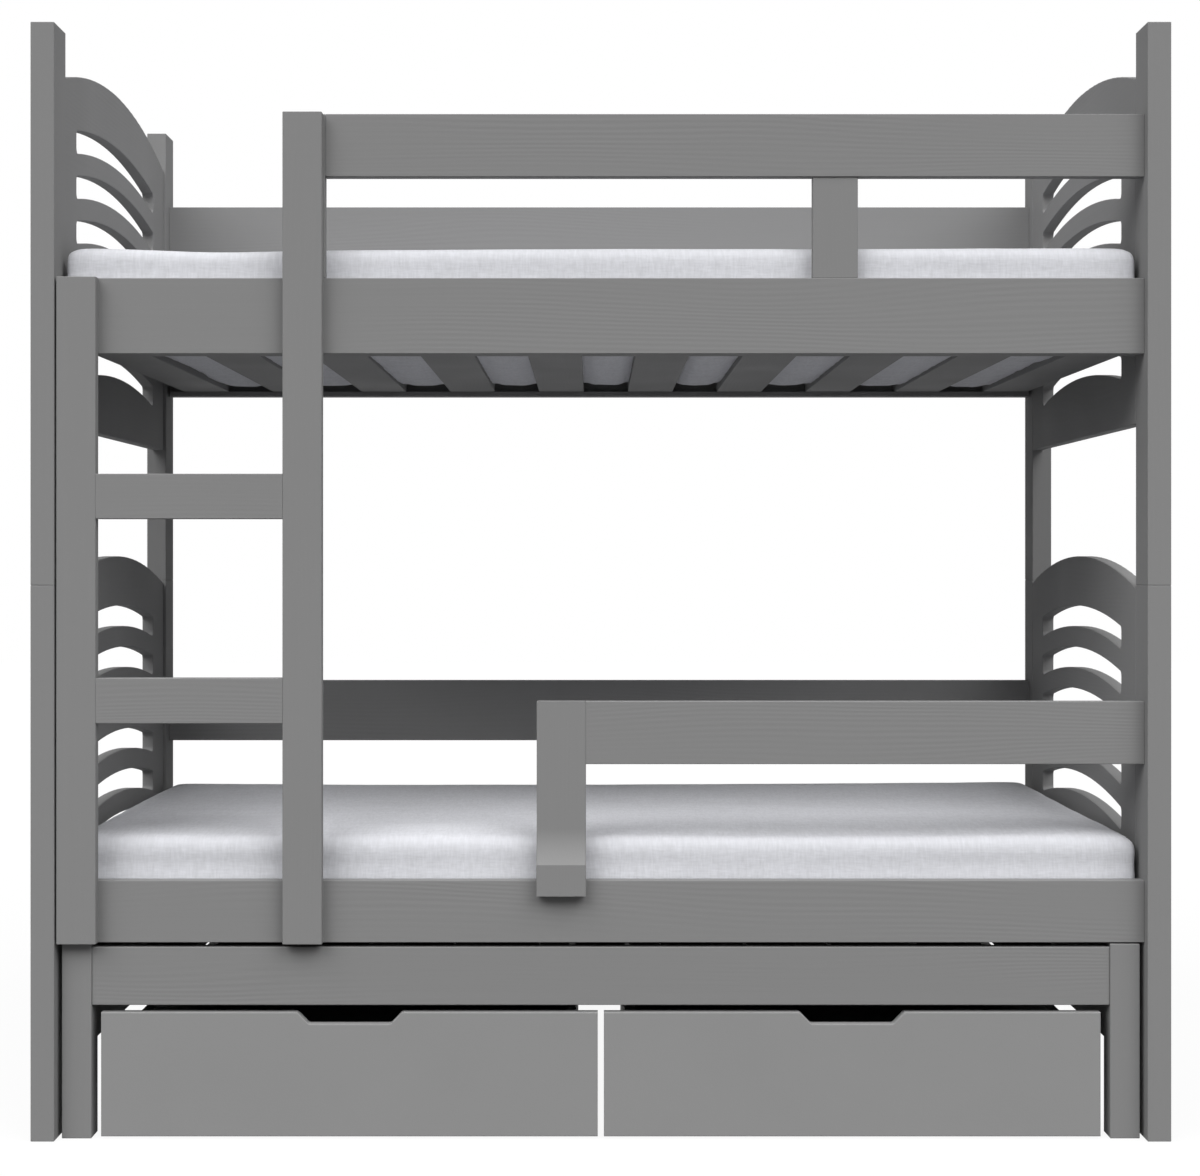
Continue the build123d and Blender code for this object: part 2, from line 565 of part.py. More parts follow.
def trundle():
    """Low bed on four legs, with open space below it for the drawers."""
    made = {}
    leg_z = (GLIDE_THICKNESS, TRUNDLE_TOP)
    side_y = (TRUNDLE_LEG_BACK + END_GAP, TRUNDLE_BACK_LEG_FRONT - END_GAP)
    side_z = (TRUNDLE_SIDE_BOTTOM, TRUNDLE_RAIL_TOP)
    for side, sign in SIDES.items():
        x = span(sign * TRUNDLE_INNER_X, sign * TRUNDLE_X)
        for depth, y in zip(DEPTHS, TRUNDLE_LEGS_Y):
            made[f"trundle_{depth}_{side}_leg"] = board(x, y, leg_z)
        middle = sign * TRUNDLE_LEG_MIDDLE_X
        side_x = (middle - BOARD / 2, middle + BOARD / 2)
        made[f"trundle_{side}_side"] = board(side_x, side_y, side_z)
    rail_x = (END_GAP - TRUNDLE_INNER_X, TRUNDLE_INNER_X - END_GAP)
    rail_z = (TRUNDLE_RAIL_BOTTOM, TRUNDLE_RAIL_TOP)
    for depth, face, inner in zip(DEPTHS, TRUNDLE_RAIL_FACES, TRUNDLE_RAIL_INNER):
        made[f"trundle_{depth}_rail"] = butted_board(rail_x, span(face, inner), rail_z)
    return made


def drawer_front(middle_x):
    """Front board with a hand notch in the middle of its top edge."""
    half = DRAWER_WIDTH / 2
    top, notch_floor = DRAWER_TOP, DRAWER_TOP - NOTCH_DEPTH
    notch = [
        (-NOTCH_TOP_WIDTH / 2, top), (-NOTCH_BOTTOM_WIDTH / 2, notch_floor),
        (NOTCH_BOTTOM_WIDTH / 2, notch_floor), (NOTCH_TOP_WIDTH / 2, top),
    ]
    corners = [(half, top), (half, DRAWER_FLOOR_GAP), (-half, DRAWER_FLOOR_GAP), (-half, top)]
    face = make_face(Polyline(*notch, *corners, close=True))
    inside = [point for point in face.vertices() if abs(point.X) < half - NOTCH_ROUND]
    face = fillet(inside, NOTCH_ROUND)
    raw = extrude(Plane.XZ * face, -DRAWER_FRONT_THICKNESS)
    rims = [edge for side in raw.faces().filter_by(Axis.Y) for edge in side.edges()]
    return Pos(middle_x, DRAWER_FRONT, 0) * fillet(rims, POST_EASE)


def drawer_box(middle_x):
    """Two sides and a back, standing on the bottom board behind the front."""
    low_x, high_x = middle_x - DRAWER_BOX_HALF, middle_x + DRAWER_BOX_HALF
    z = (DRAWER_BOX_BOTTOM, DRAWER_BOX_TOP)
    side_y = (DRAWER_BOX_FRONT, DRAWER_BOX_BACK)
    back_y = (DRAWER_BOX_BACK - DRAWER_BOX_WALL, DRAWER_BOX_BACK)
    return [
        block((low_x, low_x + DRAWER_BOX_WALL), side_y, z).solid(),
        block((high_x - DRAWER_BOX_WALL, high_x), side_y, z).solid(),
        block((low_x + DRAWER_BOX_WALL, high_x - DRAWER_BOX_WALL), back_y, z).solid(),
    ]


def drawer_bottom(middle_x):
    """Board that closes the box below and carries the wheels."""
    x = (middle_x - DRAWER_BOX_HALF, middle_x + DRAWER_BOX_HALF)
    return block(x, (DRAWER_BOX_FRONT, DRAWER_BOX_BACK), (DRAWER_BASE, DRAWER_BOX_BOTTOM)).solid()


def wheel(x, y):
    """Small solid wheel with its bore."""
    ends = (x - WHEEL_WIDTH / 2, y, WHEEL_Z), (x + WHEEL_WIDTH / 2, y, WHEEL_Z)
    disc = rod(*ends, WHEEL_RADIUS)
    disc = fillet(disc.edges().filter_by(GeomType.CIRCLE), WHEEL_ROUND)
    return (disc - rod(*ends, WHEEL_PIN_RADIUS + FIT_CLEARANCE)).solid()


def wheel_bracket(x, y):
    """Folded bracket under the drawer, and the pin that the wheel turns on."""
    inner = WHEEL_WIDTH / 2 + WHEEL_CHEEK_GAP
    outer = inner + BRACKET_PLATE
    length = (y - BRACKET_LENGTH / 2, y + BRACKET_LENGTH / 2)
    plate_bottom = DRAWER_BASE - BRACKET_PLATE
    cheek_bottom = WHEEL_Z - WHEEL_RADIUS / 2
    flange = outer + BRACKET_FLANGE
    frame = block((x - flange, x + flange), length, (plate_bottom, DRAWER_BASE))
    for sign in SIDES.values():
        frame += block(span(x + sign * inner, x + sign * outer), length, (cheek_bottom, plate_bottom))
    reach = outer + BRACKET_PLATE / 2
    hole = rod((x - flange, y, WHEEL_Z), (x + flange, y, WHEEL_Z), WHEEL_PIN_RADIUS + FIT_CLEARANCE)
    pin = rod((x - reach, y, WHEEL_Z), (x + reach, y, WHEEL_Z), WHEEL_PIN_RADIUS)
    return [(frame - hole).solid(), pin.solid()]


def drawer(side):
    """One drawer, as lists of solids by node."""
    middle_x = SIDES[side] * DRAWER_MIDDLE_X
    made = {
        f"{side}_drawer_front": [drawer_front(middle_x).solid()],
        f"{side}_drawer_box": drawer_box(middle_x),
        f"{side}_drawer_bottom": [drawer_bottom(middle_x)],
        f"{side}_drawer_wheel_brackets": [],
    }
    columns = [middle_x + sign * WHEEL_OFFSET_X for sign in SIDES.values()]
    for row, y in WHEEL_ROWS.items():
        made[f"{side}_drawer_{row}_wheels"] = [wheel(x, y) for x in columns]
        for x in columns:
            made[f"{side}_drawer_wheel_brackets"] += wheel_bracket(x, y)
    return made


# Joinery of the fixed frame and the pull-out bed

def inset_pair(low, high, inset):
    """Two places, one in from either end of a stretch."""
    return low + inset, high - inset


def bolt_rails(fixings):
    """Two bolts where each rail or guard meets a post, with every nut let in from behind."""
    lower, upper = (LOWER_RAIL_BOTTOM, LOWER_RAIL_TOP), (UPPER_RAIL_BOTTOM, UPPER_RAIL_TOP)
    lower_guard = (LOWER_BACK_GUARD_BOTTOM, LOWER_BACK_GUARD_TOP)
    upper_guard = (UPPER_BACK_GUARD_BOTTOM, UPPER_GUARD_TOP)
    both, right = tuple(SIDES), ("right",)
    rows = [
        ("lower_front_rail", "lower", "front", lower, both),
        ("lower_back_rail", "lower", "back", lower, both),
        ("upper_front_rail", "upper", "front", upper, both),
        ("upper_back_rail", "upper", "back", upper, both),
        ("lower_back_guard", "lower", "back", lower_guard, both),
        ("upper_back_guard", "upper", "back", upper_guard, both),
        ("lower_front_guard", "lower", "front", (LOWER_GUARD_BOTTOM, LOWER_GUARD_TOP), right),
        ("upper_front_guard", "upper", "front", (UPPER_GUARD_BOTTOM, UPPER_GUARD_TOP), right),
    ]
    nodes = ("rail_bolts", "barrel_nuts")
    nut_faces = {"front": -INNER_Y, "back": RAIL_Y}
    for rail, tier, depth, z_span, ends in rows:
        y = DEPTHS[depth] * RAIL_MIDDLE_Y
        for end in ends:
            for z in inset_pair(*z_span, BOLT_EDGE_INSET):
                pieces = (f"{tier}_{depth}_{end}_post", rail)
                bolt_joint(fixings, nodes, SIDES[end], OUTER_X, y, z, nut_faces[depth], pieces)


def pin_posts(fixings):
    """Loose steel pins that keep the upper tier on the lower one."""
    pin_y = (POST_INNER_Y + OUTER_Y) / 2
    pin_x = (INNER_X + OUTER_X) / 2
    for depth, depth_sign in DEPTHS.items():
        for side, side_sign in SIDES.items():
            centre = (side_sign * pin_x, depth_sign * pin_y, POST_JOINT)
            pieces = [f"{tier}_{depth}_{side}_post" for tier in ("lower", "upper")]
            straight_pin(fixings, "stacking_pins", centre, (0, 0, 1), PIN_RADIUS, PIN_LENGTH, pieces)


def dowel(fixings, node, centre, axis, pieces):
    straight_pin(fixings, node, centre, axis, DOWEL_RADIUS, DOWEL_LENGTH, pieces)


def dowel_panels(fixings):
    """Dowels from the edges of each end panel into its posts."""
    for tier, crown in PANEL_CROWN.items():
        side_height = PANEL_HEIGHT[tier] - ARCH_RISE[tier]
        step = (side_height - 2 * PANEL_DOWEL_INSET) / (PANEL_DOWELS - 1)
        for side, side_sign in SIDES.items():
            x = side_sign * (PANEL_INNER_X[side] + PANEL_THICKNESS / 2)
            for depth, depth_sign in DEPTHS.items():
                for index in range(PANEL_DOWELS):
                    z = crown - PANEL_HEIGHT[tier] + PANEL_DOWEL_INSET + index * step
                    centre = (x, depth_sign * (POST_INNER_Y - END_GAP / 2), z)
                    pieces = (f"{tier}_{side}_end_panel", f"{tier}_{depth}_{side}_post")
                    dowel(fixings, "wood_dowels", centre, (0, 1, 0), pieces)


def dowel_ladder_and_guards(fixings):
    """Dowels of the rungs, the batten, the guard's end post and the bracket."""
    half_pair = DOWEL_PAIR / 2
    node = "wood_dowels"
    for rung, bottom in zip(("ladder_lower_rung", "ladder_upper_rung"), RUNG_BOTTOMS):
        for upright, x in (("ladder_left_upright", RUNG_LEFT), ("ladder_right_upright", RUNG_RIGHT)):
            for offset in (-half_pair, half_pair):
                centre = (x, -UPRIGHT_MIDDLE_Y, bottom + RUNG_HEIGHT / 2 + offset)
                dowel(fixings, node, centre, (1, 0, 0), (rung, upright))
    batten_joints = ((UPPER_RAIL_TOP, "upper_front_rail"), (UPPER_GUARD_BOTTOM, "upper_front_guard"))
    for offset in (-half_pair, half_pair):
        for z, board_name in batten_joints:
            centre = (BATTEN_CENTRE_X + offset, -BATTEN_MIDDLE_Y, z)
            dowel(fixings, node, centre, (0, 0, 1), ("upper_guard_batten", board_name))
        centre = (GUARD_POST_MIDDLE + offset, -RAIL_MIDDLE_Y, UPPER_RAIL_TOP)
        dowel(fixings, node, centre, (0, 0, 1), ("upper_guard_end_post", "upper_front_rail"))
        upper_z = (UPPER_GUARD_BOTTOM + UPPER_GUARD_TOP) / 2 + offset
        centre = (GUARD_POST_RIGHT + END_GAP / 2, -RAIL_MIDDLE_Y, upper_z)
        dowel(fixings, node, centre, (1, 0, 0), ("upper_guard_end_post", "upper_front_guard"))
        lower_z = (LOWER_GUARD_BOTTOM + LOWER_GUARD_TOP) / 2 + offset
        centre = (LOWER_GUARD_LEFT, -RAIL_MIDDLE_Y, lower_z)
        dowel(fixings, node, centre, (1, 0, 0), ("lower_guard_bracket", "lower_front_guard"))


def screw_front(fixings):
    """Screws through the rails into what hangs on their front."""
    inward_face = -INNER_Y
    half_pair = SCREW_PAIR / 2
    node, ahead = "frame_screws", (0, -1, 0)
    rails = (("lower_front_rail", (LOWER_RAIL_BOTTOM + LOWER_RAIL_TOP) / 2),
             ("upper_front_rail", (UPPER_RAIL_BOTTOM + UPPER_RAIL_TOP) / 2))
    uprights = ("ladder_left_upright", "ladder_right_upright")
    lip_x, lip_z = BRACKET_LEFT + BRACKET_WIDTH / 2, (BRACKET_FOOT + LOWER_RAIL_TOP) / 2
    lip_pieces = ("lower_front_rail", "lower_guard_bracket")
    for offset in (-half_pair, half_pair):
        for rail, z in rails:
            for upright, x in zip(uprights, UPRIGHT_MIDDLES):
                head = (x + offset, inward_face, z)
                screw_joint(fixings, node, head, ahead, BOARD, SCREW_BITE, (rail, upright))
        head = (lip_x + offset, inward_face, lip_z)
        screw_joint(fixings, node, head, ahead, BOARD, SCREW_BITE, lip_pieces)
    for z in inset_pair(UPPER_RAIL_TOP, UPPER_GUARD_TOP, GUARD_POST_SCREW_INSET):
        head = (UPRIGHT_MIDDLES[1], inward_face, z)
        pieces = ("upper_guard_end_post", "ladder_right_upright")
        screw_joint(fixings, node, head, ahead, BOARD, SCREW_BITE, pieces)


def fix_trundle(fixings):
    """Bolts from the legs into the rails, and dowels from the sides into the legs."""
    nodes = ("trundle_fasteners", "trundle_fasteners")
    joints_y = {"front": TRUNDLE_LEG_BACK, "back": TRUNDLE_BACK_LEG_FRONT}
    side_middle = (TRUNDLE_SIDE_BOTTOM + TRUNDLE_RAIL_TOP) / 2
    for index, (depth, depth_sign) in enumerate(DEPTHS.items()):
        rail_y = (TRUNDLE_RAIL_FACES[index] + TRUNDLE_RAIL_INNER[index]) / 2
        for side, sign in SIDES.items():
            leg = f"trundle_{depth}_{side}_leg"
            for z in inset_pair(TRUNDLE_RAIL_BOTTOM, TRUNDLE_RAIL_TOP, BOLT_EDGE_INSET):
                pieces = (leg, f"trundle_{depth}_rail")
                nut_face = TRUNDLE_RAIL_INNER[index]
                bolt_joint(fixings, nodes, sign, TRUNDLE_X, rail_y, z, nut_face, pieces)
            for offset in (-DOWEL_PAIR, 0):
                centre_y = joints_y[depth] - depth_sign * END_GAP / 2
                centre = (sign * TRUNDLE_LEG_MIDDLE_X, centre_y, side_middle + offset)
                dowel(fixings, "trundle_fasteners", centre, (0, 1, 0), (leg, f"trundle_{side}_side"))


# Grouping into nodes and export

def grouped(made, fixings):
    """Every node as a list of solids, drilled, with alike pieces in shared nodes."""
    nodes = {name: [fixings.drilled(name, solid)] for name, solid in made.items()}
    for side in SIDES:
        legs = [nodes.pop(f"trundle_{depth}_{side}_leg")[0] for depth in DEPTHS]
        nodes[f"trundle_{side}_legs"] = legs
    return nodes


def bed():
    """The whole bed, as lists of solids by node."""
    fixings = Fixings()
    bolt_rails(fixings)
    pin_posts(fixings)
    dowel_panels(fixings)
    dowel_ladder_and_guards(fixings)
    screw_front(fixings)
    fix_trundle(fixings)
    made = {**posts(), **end_panels(), **long_boards(), **front_guards()}
    made.update({**ladder(), **mattresses(), **trundle()})
    nodes = grouped(made, fixings)
    fixed_centres = slat_centres(SLAT_LEFT_MARGIN - INNER_X, INNER_X - SLAT_RIGHT_MARGIN, SLAT_COUNT)
    pulled_end = TRUNDLE_INNER_X - TRUNDLE_SLAT_MARGIN
    pulled_centres = slat_centres(-pulled_end, pulled_end, TRUNDLE_SLAT_COUNT)
    fixed_y, pulled_y = (-INNER_Y, INNER_Y), TRUNDLE_RAIL_INNER
    bases = (
        ("lower", "frame_screws", fixed_centres, INNER_X, fixed_y, LOWER_SLAT_BOTTOM),
        ("upper", "frame_screws", fixed_centres, INNER_X, fixed_y, UPPER_SLAT_BOTTOM),
        ("trundle", "trundle_fasteners", pulled_centres, TRUNDLE_INNER_X, pulled_y, TRUNDLE_SLAT_BOTTOM),
    )
    for tier, screws, centres, half_length, y, bottom in bases:
        slats, ledges = slatted_base(fixings, screws, centres, half_length, y, bottom)
        nodes[f"{tier}_slats"] = slats
        nodes.setdefault("trundle_ledges" if tier == "trundle" else "slat_ledges", []).extend(ledges)
    post_y = [(sign * POST_INNER_Y, sign * OUTER_Y) for sign in DEPTHS.values()]
    nodes["post_glides"] = glides((INNER_X + OUTER_X) / 2, post_y, GLIDE_RADIUS)
    nodes["trundle_glides"] = glides(TRUNDLE_LEG_MIDDLE_X, TRUNDLE_LEGS_Y, TRUNDLE_GLIDE_RADIUS)
    for side in SIDES:
        nodes.update(drawer(side))
    for node, solids in fixings.solids.items():
        nodes[node] = [solid.solid() for solid in solids]
    return nodes


def main():
    os.makedirs("parts", exist_ok=True)
    for name, solids in bed().items():
        shape = solids[0] if len(solids) == 1 else Compound(children=solids)
        export_step(shape, f"parts/{name}.step")
        print(name, len(solids), round(sum(solid.volume for solid in solids)))


if __name__ == "__main__":
    main()
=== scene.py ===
"""Dress the triple bunk bed: painted boards, linen mattresses, fixings, and the studio around them."""

from __future__ import annotations

import json
import logging
import math
import random
from dataclasses import dataclass
from enum import Enum
from typing import Any

import bmesh
import bpy
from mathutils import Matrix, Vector, noise

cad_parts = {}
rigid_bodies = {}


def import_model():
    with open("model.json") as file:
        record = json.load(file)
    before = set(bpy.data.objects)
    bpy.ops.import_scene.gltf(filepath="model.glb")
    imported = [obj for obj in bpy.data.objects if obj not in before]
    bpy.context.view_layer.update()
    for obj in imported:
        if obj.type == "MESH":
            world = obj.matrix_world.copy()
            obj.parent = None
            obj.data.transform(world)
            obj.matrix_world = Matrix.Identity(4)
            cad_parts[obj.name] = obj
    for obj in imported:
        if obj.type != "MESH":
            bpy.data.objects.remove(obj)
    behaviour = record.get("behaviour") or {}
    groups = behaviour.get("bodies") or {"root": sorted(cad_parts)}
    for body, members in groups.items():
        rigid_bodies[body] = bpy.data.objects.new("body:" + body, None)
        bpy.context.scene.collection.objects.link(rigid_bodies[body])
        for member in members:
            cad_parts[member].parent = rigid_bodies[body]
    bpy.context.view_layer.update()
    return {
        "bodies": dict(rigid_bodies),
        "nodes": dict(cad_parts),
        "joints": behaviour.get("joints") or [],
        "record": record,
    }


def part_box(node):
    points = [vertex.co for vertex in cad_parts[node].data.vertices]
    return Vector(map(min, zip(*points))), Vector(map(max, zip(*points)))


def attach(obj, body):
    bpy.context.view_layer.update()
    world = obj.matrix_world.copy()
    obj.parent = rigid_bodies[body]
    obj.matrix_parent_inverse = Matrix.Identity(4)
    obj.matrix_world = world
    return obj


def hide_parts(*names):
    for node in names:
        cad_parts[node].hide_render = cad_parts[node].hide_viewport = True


LOG = logging.getLogger("bunk_bed")
SIDES = ("left", "right")
DEPTHS = ("front", "back")
TIERS = ("lower", "upper")
PAINT_GLOSS = 0.04
RING_PITCH = 0.0062
THREAD_PITCH = 0.0011
MIDDLE = (0.3, 0.7)
WHOLE = (0.0, 1.0)
WHITE = (1.0, 1.0, 1.0, 1.0)
Colour = tuple[float, float, float]


class Bench:
    """Puts shader nodes into one tree and wires them up."""

    def __init__(self, tree: bpy.types.NodeTree) -> None:
        """Start from an empty tree."""
        self.tree = tree
        tree.nodes.clear()

    def feed(self, socket: bpy.types.NodeSocket, value: Any) -> None:
        """Link a socket to another one, or set its value."""
        if isinstance(value, bpy.types.NodeSocket):
            self.tree.links.new(value, socket)
        else:
            socket.default_value = value

    def node(self, kind: str, inputs: dict[str | int, Any] | None = None, **settings: Any) -> bpy.types.Node:
        """Add one node.

        Args:
            kind: Its type, without the leading ShaderNode.
            inputs: Values or sockets, by input name or number.
            **settings: The node's own properties.

        Returns:
            The new node.
        """
        made = self.tree.nodes.new("ShaderNode" + kind)
        for name, value in settings.items():
            setattr(made, name, value)
        for key, value in (inputs or {}).items():
            self.feed(made.inputs[key], value)
        return made

    def sum_up(self, operation: str, *values: Any) -> bpy.types.NodeSocket:
        """Add a Math node and return its result."""
        made = self.node("Math", dict(enumerate(values)), operation=operation)
        return made.outputs[0]

    def remap(self, value: Any, source: tuple[float, float], target: tuple[float, float]) -> bpy.types.NodeSocket:
        """Carry a value from one range to another, held at its ends."""
        inputs = {0: value, 1: source[0], 2: source[1], 3: target[0], 4: target[1]}
        return self.node("MapRange", inputs).outputs[0]

    def stretch(self, vector: Any, scale: Colour, place: Colour = (0.0, 0.0, 0.0)) -> bpy.types.NodeSocket:
        """Scale and shift a coordinate."""
        inputs = {"Vector": vector, "Scale": scale, "Location": place}
        return self.node("Mapping", inputs).outputs[0]

    def cloud(self, vector: Any, scale: float, detail: float = 2.0, roughness: float = 0.5) -> bpy.types.NodeSocket:
        """Add a noise texture and return its grey value."""
        inputs = {"Vector": vector, "Scale": scale, "Detail": detail, "Roughness": roughness}
        return self.node("TexNoise", inputs).outputs[0]

    def tint(self, factor: Any, dark: Colour, light: Colour) -> bpy.types.NodeSocket:
        """Blend two colours and return the colour between them."""
        inputs = {0: factor, 6: (*dark, 1.0), 7: (*light, 1.0)}
        return self.node("Mix", inputs, data_type="RGBA").outputs[2]


class GroupBuilder:
    """Shared shader effects, each built once and placed in the materials that use it."""

    @staticmethod
    def start(name: str, inputs: dict[str, str], outputs: tuple[str, ...]) -> tuple[Bench, Any, Any]:
        """Open a new node group.

        Args:
            name: The group's name.
            inputs: Socket kind, Vector or Float, by input name.
            outputs: Names of the grey values that it puts out.

        Returns:
            The bench for the group, its input node and its output node.
        """
        tree = bpy.data.node_groups.new(name, "ShaderNodeTree")
        for label, kind in inputs.items():
            tree.interface.new_socket(label, in_out="INPUT", socket_type="NodeSocket" + kind)
        for label in outputs:
            tree.interface.new_socket(label, in_out="OUTPUT", socket_type="NodeSocketFloat")
        bench = Bench(tree)
        entry = tree.nodes.new("NodeGroupInput")
        leave = tree.nodes.new("NodeGroupOutput")
        return bench, entry.outputs, leave.inputs

    @classmethod
    def wood_grain(cls) -> bpy.types.NodeTree:
        """Raised grain of planed softwood, with X along the board.

        Returns:
            A group with Vector and Figure in, and Relief and Pores out.
        """
        found = bpy.data.node_groups.get("wood_grain")
        if found:
            return found
        bench, entry, leave = cls.start("wood_grain", {"Vector": "Vector", "Figure": "Float"}, ("Relief", "Pores"))
        fibres = bench.cloud(bench.stretch(entry["Vector"], (5.0, 260.0, 260.0)), 1.0, 3.0, 0.6)
        across = bench.node("SeparateXYZ", {0: entry["Vector"]}).outputs
        depth = bench.sum_up("MULTIPLY_ADD", across[2], 0.85, across[1])
        drift = bench.cloud(bench.stretch(entry["Vector"], (1.1, 6.0, 6.0)), 1.0, 1.0)
        wander = bench.cloud(bench.stretch(entry["Vector"], (6.0, 30.0, 30.0)), 1.0, 1.0)
        phase = bench.sum_up("MULTIPLY_ADD", depth, 2.0 * math.pi / RING_PITCH, bench.sum_up("MULTIPLY", drift, 95.0))
        rings = bench.sum_up("SINE", bench.sum_up("MULTIPLY_ADD", wander, 3.0, phase))
        patch = bench.remap(bench.cloud(bench.stretch(entry["Vector"], (1.4, 8.0, 8.0), (2.0, 5.0, 3.0)), 1.0),
                            (0.42, 0.62), (0.1, 1.0))
        figure = bench.sum_up("MULTIPLY", bench.sum_up("MULTIPLY", rings, entry["Figure"]), patch)
        relief = bench.sum_up("MULTIPLY_ADD", fibres, 0.6, bench.sum_up("MULTIPLY", figure, 0.5))
        bench.feed(leave["Relief"], relief)
        bench.feed(leave["Pores"], bench.remap(relief, (0.1, 0.55), (0.0, 1.0)))
        return bench.tree

    @classmethod
    def brush_marks(cls) -> bpy.types.NodeTree:
        """Slow mottle of a coat of paint, and the fine orange peel of a sprayed film.

        Returns:
            A group with Vector in, and Mottle and Peel out.
        """
        found = bpy.data.node_groups.get("brush_marks")
        if found:
            return found
        bench, entry, leave = cls.start("brush_marks", {"Vector": "Vector"}, ("Mottle", "Peel"))
        bench.feed(leave["Mottle"], bench.cloud(entry["Vector"], 7.0, 3.0))
        bench.feed(leave["Peel"], bench.cloud(entry["Vector"], 420.0, 1.0))
        return bench.tree

    @classmethod
    def linen_weave(cls) -> bpy.types.NodeTree:
        """Threads and slubs of a plain linen weave, lying along whichever axes the surface holds.

        Returns:
            A group with Vector and Normal in, and Relief and Slub out.
        """
        found = bpy.data.node_groups.get("linen_weave")
        if found:
            return found
        bench, entry, leave = cls.start("linen_weave", {"Vector": "Vector", "Normal": "Vector"}, ("Relief", "Slub"))
        facing = bench.node("SeparateXYZ", {0: entry["Normal"]}).outputs
        place = bench.node("SeparateXYZ", {0: entry["Vector"]}).outputs
        relief, slub = 0.0, 0.0
        for axis in range(3):
            held = bench.sum_up("SUBTRACT", 1.0, bench.sum_up("ABSOLUTE", facing[axis]))
            across = tuple(340.0 if axis == other else 55.0 for other in range(3))
            streak = bench.cloud(bench.stretch(entry["Vector"], across), 1.0, 2.0, 0.6)
            wide = tuple(150.0 if axis == other else 40.0 for other in range(3))
            band = bench.cloud(bench.stretch(entry["Vector"], wide, (3.1, 1.7, 5.3)), 1.0, 1.0)
            wave = bench.sum_up("SINE", bench.sum_up("MULTIPLY", place[axis], 2.0 * math.pi / THREAD_PITCH))
            thread = bench.sum_up("MULTIPLY_ADD", wave, 0.18, streak)
            both = bench.sum_up("MULTIPLY_ADD", band, 0.4, streak)
            relief = bench.sum_up("MULTIPLY_ADD", thread, held, relief)
            slub = bench.sum_up("MULTIPLY_ADD", both, held, slub)
        bench.feed(leave["Relief"], bench.sum_up("MULTIPLY", relief, 0.5))
        bench.feed(leave["Slub"], bench.remap(slub, (1.0, 1.8), (0.0, 1.0)))
        return bench.tree

    @staticmethod
    def place(bench: Bench, group: bpy.types.NodeTree, **inputs: Any) -> Any:
        """Put a group into a material and return its outputs."""
        made = bench.tree.nodes.new("ShaderNodeGroup")
        made.node_tree = group
        for name, value in inputs.items():
            bench.feed(made.inputs[name], value)
        return made.outputs


class Grain(Enum):
    """Direction of the grain, as the turn that lays it along X."""

    ALONG_X = (0.0, 0.0, 0.0)
    ALONG_Y = (0.0, 0.0, math.pi / 2)
    ALONG_Z = (0.0, math.pi / 2, 0.0)


@dataclass(frozen=True)
class Finish:
    """What every finish shares: its name, its colour and how matt it is."""

    name: str
    colour: Colour
    roughness: float = 0.5

    def material(self) -> bpy.types.Material:
        """Return the material, built the first time that it is asked for."""
        found = bpy.data.materials.get(self.name)
        if found:
            return found
        made = bpy.data.materials.new(self.name)
        made.use_nodes = True
        bench = Bench(made.node_tree)
        shader = bench.node("BsdfPrincipled")
        output = bench.node("OutputMaterial")
        bench.feed(output.inputs["Surface"], shader.outputs[0])
        place = bench.node("TexCoord").outputs["Object"]
        self.wire(bench, shader, place)
        return made

    def wire(self, bench: Bench, shader: bpy.types.Node, place: bpy.types.NodeSocket) -> None:
        """Fill in the shader; each finish has its own way."""
        raise NotImplementedError

    def shade(self, low: float, high: float) -> tuple[Colour, Colour]:
        """Return the finish's colour darkened and lightened by two factors."""
        dark, light = (tuple(part * factor for part in self.colour) for factor in (low, high))
        return dark, light

    def vary(self, bench: Bench, shader: bpy.types.Node, value: Any, source: tuple[float, float], swing: float) -> None:
        """Let the roughness swing about the finish's own.

        Args:
            bench: The bench that holds the material.
            shader: The material's shader.
            value: What the roughness follows.
            source: The values at which it reaches its two ends.
            swing: How far it goes to either side, below zero where it falls as the value rises.
        """
        spread = (self.roughness - swing, self.roughness + swing)
        bench.feed(shader.inputs["Roughness"], bench.remap(value, source, spread))

    @staticmethod
    def emboss(bench: Bench, shader: bpy.types.Node, height: Any, distance: float, strength: float) -> None:
        """Raise the surface by a height, without moving it."""
        bump = bench.node("Bump", {"Height": height, "Distance": distance, "Strength": strength})
        bench.feed(shader.inputs["Normal"], bump.outputs[0])

    def dress(self, piece: bpy.types.Object) -> None:
        """Put the finish on a piece, in place of whatever it had."""
        piece.data.materials.clear()
        piece.data.materials.append(self.material())


@dataclass(frozen=True)
class PaintedWood(Finish):
    """Satin paint over solid wood, with the grain showing through the film."""

    grain: Grain = Grain.ALONG_X
    figure: float = 0.5
    relief: float = 0.0003

    def wire(self, bench: Bench, shader: bpy.types.Node, place: bpy.types.NodeSocket) -> None:
        """Paint: grain and film in the bump, a little of both in colour and gloss."""
        turned = bench.node("Mapping", {"Vector": place, "Rotation": self.grain.value}).outputs[0]
        grain = GroupBuilder.place(bench, GroupBuilder.wood_grain(), Vector=turned, Figure=self.figure)
        film = GroupBuilder.place(bench, GroupBuilder.brush_marks(), Vector=place)
        tone = bench.sum_up("MULTIPLY_ADD", grain["Pores"], 0.55, bench.sum_up("MULTIPLY", film["Mottle"], 0.45))
        bench.feed(shader.inputs["Base Color"], bench.tint(tone, *self.shade(0.982, 1.018)))
        self.vary(bench, shader, film["Mottle"], MIDDLE, 0.06)
        height = bench.sum_up("MULTIPLY_ADD", film["Peel"], 0.12, grain["Relief"])
        self.emboss(bench, shader, height, self.relief, 0.55)
        shader.inputs["Specular IOR Level"].default_value = PAINT_GLOSS


